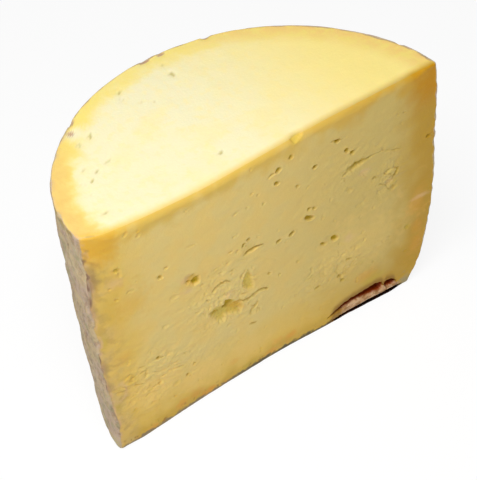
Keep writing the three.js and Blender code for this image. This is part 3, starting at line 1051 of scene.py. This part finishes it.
on_left = rightwards(-100, -20, 1, 0)
left_front = both(both(on_left, fade(top_cut, 0.0, 0.3)), between(below_top, 12, 40))
near_border = both(fade(below_wall, *BORDER_ZONE), left_front)
paste = layers(paste, [
    (both(near_border, patches(16, 0.4, 0.6, 0.45, 0.95)), EDGE_TAN),
    (both(near_border, patches(10, 0.48, 0.64, 0, 0.6)), OLIVE_EDGE),
    (stored("pale"), PALE_GOLD_AND_PAINTED_LIGHT),
    (stored("olive"), OLIVE_STAIN_AND_SHADE),
    (stored("orange"), ORANGE),
    (between(stored("dip_tint_and_shade"), 0.1, 1.0, 0, 0.85), DIP_FLOOR_AND_SHADE),
    (stored("gold_stain"), GOLD_STAIN),
    (stored("pink"), PINK),
    (between(stored("eye_tint_and_shade"), *HOLLOW_RISE, 0, 0.9), EYE_FLOOR_AND_SHADE),
    # Pits of the top, tinted and painted darker as shade.
    (between(stored("pit_tint_and_shade"), *HOLLOW_RISE, 0, 0.9), PIT_FLOOR_AND_SHADE),
    # The nick, tinted golden-brown and painted darker as shade.
    (between(stored("nick_tint_and_shade"), *HOLLOW_RISE, 0, 0.8), NICK_GOLD_AND_SHADE),
    (between(stored("chip"), 0.1, 0.7), CHIP),
])
print("paste finished,", len(tree.nodes), "nodes so far")

# %% [markdown]
# ## Colour of the rind
# The rind is a dry crust in greys and browns, with bloom, spots and streaks. One noise at one scale looks
# like camouflage cloth, so several sizes lie over each other, from broad zones to clustered spots. The crags
# get pale tops and brown hollows, partly painted light and shade that bring out the relief.

# %% Colour of the rind
RIND = tone(201, 178, 138)
RIND_PALE = tone(212, 198, 166)
RIND_MAUVE = tone(197, 173, 149)
RIND_GREEN = tone(170, 163, 122)
RIND_DARK = tone(140, 120, 92)
RIND_BROWN = tone(158, 128, 102)
RIND_OLIVE = tone(164, 142, 90)
CRAG_HOLLOW_SHADE = (-2.4, -0.3, 0.85)
CRAG_TOP_LIGHT = (0.3, 1.6, 0, 0.4)

streaks = patches(6, 0.53, 0.66, 0, 0.5, detail=4, stretch=(1, 1, 0.5))
relief = plus(stored("relief"), waver(5, 4, 0.7))
rind = layers(RIND, [
    (patches(70, 0.4, 0.62, 0, 0.7), RIND_PALE),
    (patches(24, 0.42, 0.6, detail=5), RIND_MAUVE),
    (patches(13, 0.5, 0.66, 0, 0.7, detail=5), RIND_GREEN),
    (both(patches(5, 0.52, 0.68), patches(40, 0.38, 0.6, 0.1, 0.6)), RIND_DARK),
    (both(streaks, on_left), RIND_BROWN),
    # Hollows of the crags painted brown, partly as shade, and their tops paler, partly as painted light.
    (fade(relief, *CRAG_HOLLOW_SHADE), RIND_BROWN),
    (between(relief, *CRAG_TOP_LIGHT), RIND_PALE),
    (both(stored("under_rim"), patches(9, 0.4, 0.6, 0.1, 0.9)), RIND_OLIVE),
])
print("rind mixed,", len(tree.nodes), "nodes so far")

# %% [markdown]
# ## Where paste and rind meet
# At the border the cut shows the rind's own thickness as a thin line, pinkish on the left and hardly there
# on the right. The rim of the top is peach-coloured at the right and brown behind. Along the foot runs a
# dark line, partly the rind of the base and partly painted contact shadow, with specks above it. A sharp
# mask would look printed, so noise moves the border a little.

# %% Border of the rind
RIND_SECTION = tone(216, 178, 130)
RIM_PEACH = tone(240, 197, 120)
BORDER_BROWN = tone(136, 106, 84)
FOOT_RIND_SHADOW = tone(98, 88, 56)
FOOT_RIND_SHADOW_GREY = tone(146, 128, 92)
FOOT_SPECK = tone(160, 110, 40)
SECTION_ZONE = (2.2, 5.5)
PEACH_ZONE = (4, 36)
RIM_LINE_ZONE = (1.6, 3.4)
SPECK_ZONE = (5, 15)
FOOT_SHADOW_ZONE = (2.6, 6.0)
RIND_ZONE = (0.4, 2.2)
UNDERSIDE_ZONE = (0.1, 0.6)

rind_depth = plus(plus(below_wall, waver(22, 4, 1.4)), rightwards(100, 180, 0, -1.6))
section = both(patches(12, 0.42, 0.6, 0.1, 0.9), rightwards(-100, 100, 1.0, 0.0))
section = both(section, between(top_cut, 0.0, 1.0, 1.0, 0.4))
peach = both(fade(below_wall, *PEACH_ZONE), patches(9, 0.32, 0.66, 0.2, 0.75))
rim_line = both(fade(rind_depth, *RIM_LINE_ZONE), patches(16, 0.36, 0.56, 0.15, 0.9))
# The dark line along the foot: partly base rind, partly painted contact shadow.
foot_rind_shadow_line = blend(rightwards(-90, 0), FOOT_RIND_SHADOW_GREY, FOOT_RIND_SHADOW)
colour = layers(paste, [
    (both(fade(rind_depth, *SECTION_ZONE), section), RIND_SECTION),
    (both(peach, both(top_cut, rightwards(-20, 120))), RIM_PEACH),
    (both(rim_line, both(top_cut, rightwards(-150, -100))), RIND_BROWN),
    (both(fade(above_foot, *SPECK_ZONE), patches(5, 0.56, 0.7, 0, 0.8)), FOOT_SPECK),
    (fade(plus(above_foot, waver(7, 3, 2.0)), *FOOT_SHADOW_ZONE), foot_rind_shadow_line),
    (fade(rind_depth, *RIND_ZONE), rind),
    (between(stored("brown"), 0.1, 0.8, 0, 0.9), BORDER_BROWN),
    (fade(above_foot, *UNDERSIDE_ZONE), rind),
])
print("border mixed,", len(tree.nodes), "nodes so far")

# %% [markdown]
# ## Colour of the split
# Inside, the split is red-brown, painted darker as shade, and the gap under its lip is painted nearly black
# as shadow. The lip is beige, with tan and brown specks, and above the gash the paste is painted darker as
# shade. A second material could do this, but these colours fade into the paste, so they go on as the last
# coats of the same one.

# %% Colour of the split
GREY_STAIN = tone(158, 148, 112)
SPLIT_SHADE_COLOUR = tone(150, 108, 34)
LIP = tone(208, 172, 132)
LIP_TAN = tone(192, 150, 106)
LIP_BROWN = tone(146, 100, 52)
SPLIT_BROWN_AND_SHADE = tone(150, 60, 8)
GAP_PAINTED_SHADOW = tone(34, 20, 14)

lip = layers(LIP, [
    (patches(12, 0.42, 0.6, detail=2), LIP_TAN),
    (patches(4, 0.43, 0.57, 0, 0.75, stretch=(0.6, 1, 1)), LIP_BROWN),
])
colour = layers(colour, [
    (stored("grey_stain"), GREY_STAIN),
    (between(stored("split_painted_shade"), 0.0, 1.0, 0, 0.9), SPLIT_SHADE_COLOUR),
    (between(stored("lip"), 0.2, 0.8), lip),
    (between(stored("split"), 0.04, 0.3), SPLIT_BROWN_AND_SHADE),
    (between(stored("gap"), 0.1, 0.5), GAP_PAINTED_SHADOW),
])
print("colour finished,", len(tree.nodes), "nodes so far")

# %% [markdown]
# ## Grain and gloss
# Paste has a faint waxy gloss, and rind is dull and gritty. The finest grain is a bump, because the mesh
# would need far more points to hold it. A little light enters cheese and comes out again, which subsurface
# scattering gives: red goes deepest, so thin edges look warm.

# %% Shader
BUMP_STRENGTH = 0.35
BUMP_HEIGHT = 0.6 * MM
GRAIN_SIZE = 2.5
CURD_GRAIN_SIZE = 5
CURD_GRAIN = 1.6
SMOOTH_GRAIN, TORN_GRAIN, RIND_GRAIN = 0.7, 2.6, 5.0
RIND_ROUGH, PASTE_ROUGH = 0.85, 0.5
GLOSS_ZONE = (0.8, 2.5)

curd_grain = both(lumps(CURD_GRAIN_SIZE, 2, tuple(CURD_STRETCH)), CURD_GRAIN)
grain = plus(lumps(GRAIN_SIZE, 4), curd_grain)
grain = both(grain, between(stored("torn"), 0.0, 1.0, SMOOTH_GRAIN, TORN_GRAIN))
grain = both(grain, between(rind_depth, *GLOSS_ZONE, RIND_GRAIN, 1.0))
bump = tree.nodes.new("ShaderNodeBump")
fill(bump, {"Strength": BUMP_STRENGTH, "Distance": BUMP_HEIGHT, "Height": grain})
shader = tree.nodes.new("ShaderNodeBsdfPrincipled")
fill(shader, {
    "Base Color": colour,
    "Roughness": between(rind_depth, *GLOSS_ZONE, RIND_ROUGH, PASTE_ROUGH),
    "Normal": bump.outputs["Normal"],
    "Subsurface Weight": 0.18,
    "Subsurface Radius": (1.0, 0.6, 0.25),
    "Subsurface Scale": 6 * MM,
    "Specular IOR Level": 0.15,
})
output = tree.nodes.new("ShaderNodeOutputMaterial")
fill(output, {"Surface": shader.outputs["BSDF"]})
print("finish with", len(tree.nodes), "nodes")

# %% [markdown]
# ## The piece
# The mesh becomes one object at the origin, with its place in its points. It takes the place of the plain
# solid from the CAD model, which is hidden, rides on the root body and gets the cheese finish.

# %% The piece takes the place of the CAD solid
cheese = bpy.data.objects.new("half_wheel_cheese", mesh)
scene.collection.objects.link(cheese)
mesh.materials.append(cheese_finish)
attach(cheese, "root")
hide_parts("half_wheel")
print("piece", cheese.name, "rides on root")

# %% [markdown]
# ## Floor and light
# The cheese stands on a plain white floor in soft light. A white floor lit from above would need strong
# lamps that bleach the top of the cheese, so the floor glows by itself. A broad lamp hangs over it
# to the left, so the top is bright, the cut face lies in soft shade, and the light falls off to the right.

# %% Floor
FLOOR_SIZE = 80.0
FLOOR_GREY = (0.12, 0.12, 0.12, 1)
WHITE = (1, 1, 1, 1)
FLOOR_GLOW = 0.88

floor_bm = bmesh.new()
bmesh.ops.create_grid(floor_bm, x_segments=1, y_segments=1, size=FLOOR_SIZE / 2)
floor_mesh = bpy.data.meshes.new("floor")
floor_bm.to_mesh(floor_mesh)
floor_bm.free()
floor = bpy.data.objects.new("floor", floor_mesh)
scene.collection.objects.link(floor)
floor_finish = bpy.data.materials.new("floor_finish")
floor_finish.use_nodes = True
floor_shader = floor_finish.node_tree.nodes["Principled BSDF"]
fill(floor_shader, {
    "Base Color": FLOOR_GREY,
    "Emission Color": WHITE,
    "Emission Strength": FLOOR_GLOW,
    "Roughness": 0.9,
    "Specular IOR Level": 0.1,
})
floor_mesh.materials.append(floor_finish)
print("floor", FLOOR_SIZE, "m wide")

# %% Light
SKY_STRENGTH = 0.1
LAMP_AT = Vector((-0.6, -0.45, 1.6))
LAMP_AIM = Vector((-0.05, 0.0, 0.2))
LAMP_SIZE = 0.9
LAMP_POWER = 30

sky = bpy.data.worlds.new("sky")
sky.use_nodes = True
fill(sky.node_tree.nodes["Background"], {"Color": WHITE, "Strength": SKY_STRENGTH})
scene.world = sky
lamp = bpy.data.objects.new("lamp", bpy.data.lights.new("lamp", "AREA"))
lamp.data.size = LAMP_SIZE
lamp.data.energy = LAMP_POWER
lamp.location = LAMP_AT
lamp.rotation_mode = "QUATERNION"
lamp.rotation_quaternion = (LAMP_AIM - LAMP_AT).to_track_quat("-Z", "Y")
scene.collection.objects.link(lamp)
scene.view_settings.view_transform = "Standard"
print("lamp", LAMP_POWER, "W at", tuple(LAMP_AT))
